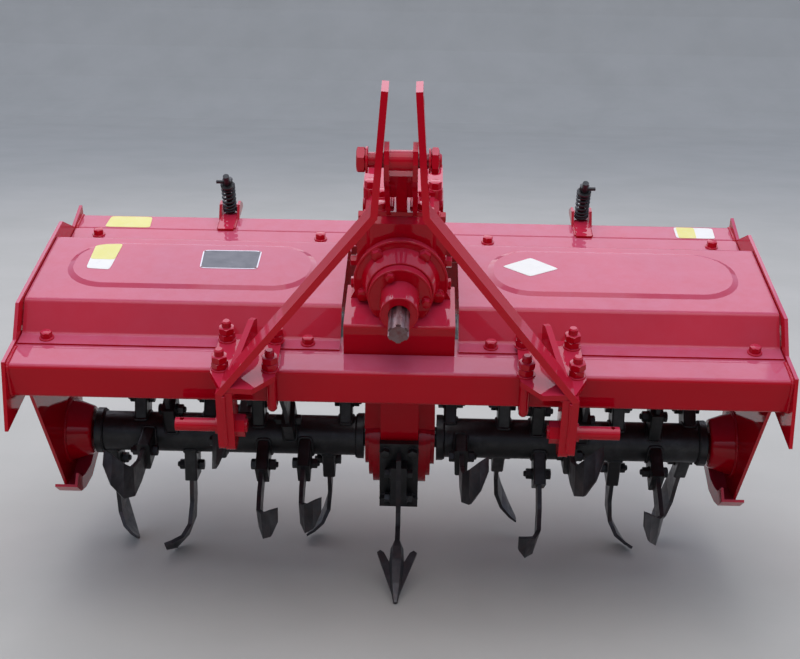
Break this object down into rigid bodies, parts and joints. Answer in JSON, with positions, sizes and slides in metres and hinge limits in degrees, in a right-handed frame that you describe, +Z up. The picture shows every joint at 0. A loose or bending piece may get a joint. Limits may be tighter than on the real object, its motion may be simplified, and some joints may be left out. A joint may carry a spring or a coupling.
{
  "type": "rotary tiller",
  "caption": "Three-point mounted rotary tiller with a centre gear drive, bladed rotor, hood covers, mast, centre share, side skids and a sprung rear levelling board.",
  "frame": {"origin": "on the floor under the middle of the whole machine as it parks, nose down on the centre share and the lowest blades", "axes": "+X along the rotor towards the side that is on the right in the picture, +Y to the rear, +Z up; the tractor stands on the -Y side"},
  "size_m": [1.31, 0.852, 0.9353],
  "materials": {
    "red_paint": "gloss",
    "black_paint": "satin",
    "blade_steel": "satin",
    "bare_steel": "satin"
  },
  "bodies": {
    "frame": {"front_beam": "red_paint", "rear_beam": "red_paint", "side_plate_left": "red_paint", "side_plate_right": "red_paint", "bearing_housing_left": "red_paint", "bearing_housing_right": "red_paint", "bearing_cap_left": "red_paint", "bearing_cap_right": "red_paint", "skid_left": "red_paint", "skid_right": "red_paint", "cover_left": "red_paint", "cover_right": "red_paint", "gear_case": "red_paint", "input_flange": "red_paint", "mast_lugs": "red_paint", "mast_bar_left": "red_paint", "mast_bar_right": "red_paint", "mast_cross_bolt": "red_paint", "hitch_bracket_left": "red_paint", "hitch_bracket_right": "red_paint", "hitch_u_bolts_left": "red_paint", "hitch_u_bolts_right": "red_paint", "hitch_pin_left": "red_paint", "hitch_pin_right": "red_paint", "share_bracket": "black_paint", "share_shank": "blade_steel", "share_point": "blade_steel", "board_hinge_knuckles": "red_paint", "board_hinge_pin": "black_paint", "rod_bracket_left": "red_paint", "rod_bracket_right": "red_paint"},
    "rotor": {"rotor_shaft": "black_paint", "rotor_tube_left": "black_paint", "rotor_tube_right": "black_paint", "blades_left": "blade_steel", "blades_right": "blade_steel"},
    "input_shaft": {"input_shaft": "bare_steel"},
    "levelling_board": {"levelling_board": "red_paint", "rod_eye_pin_left": "black_paint", "rod_eye_pin_right": "black_paint"},
    "rod_left": {"rod_left": "black_paint", "spring_left": "black_paint"},
    "rod_right": {"rod_right": "black_paint", "spring_right": "black_paint"}
  },
  "joints": [
    {"name": "rotor_spin", "type": "hinge", "parent": "frame", "child": "rotor", "pos_m": [0, 0.03057, 0.23203], "axis": [1, 0, 0], "continuous": true},
    {"name": "input_spin", "type": "hinge", "parent": "frame", "child": "input_shaft", "pos_m": [0, -0.40469, 0.54415], "axis": [0, -0.9542, -0.299], "continuous": true},
    {"name": "board_swing", "type": "hinge", "parent": "frame", "child": "levelling_board", "pos_m": [0, 0.20418, 0.58091], "axis": [1, 0, 0], "range_deg": [0, 35]},
    {"name": "rod_left_swing", "type": "hinge", "parent": "levelling_board", "child": "rod_left", "pos_m": [-0.347, 0.29534, 0.51519], "axis": [1, 0, 0], "range_deg": [-14, 1]},
    {"name": "rod_right_swing", "type": "hinge", "parent": "levelling_board", "child": "rod_right", "pos_m": [0.347, 0.29534, 0.51519], "axis": [1, 0, 0], "range_deg": [-14, 1]}
  ],
  "couplings": [
    {"joint": "input_spin", "follows": "rotor_spin", "ratio": -2.45},
    {"joint": "rod_left_swing", "follows": "board_swing", "ratio": -0.305},
    {"joint": "rod_right_swing", "follows": "board_swing", "ratio": -0.305}
  ]
}
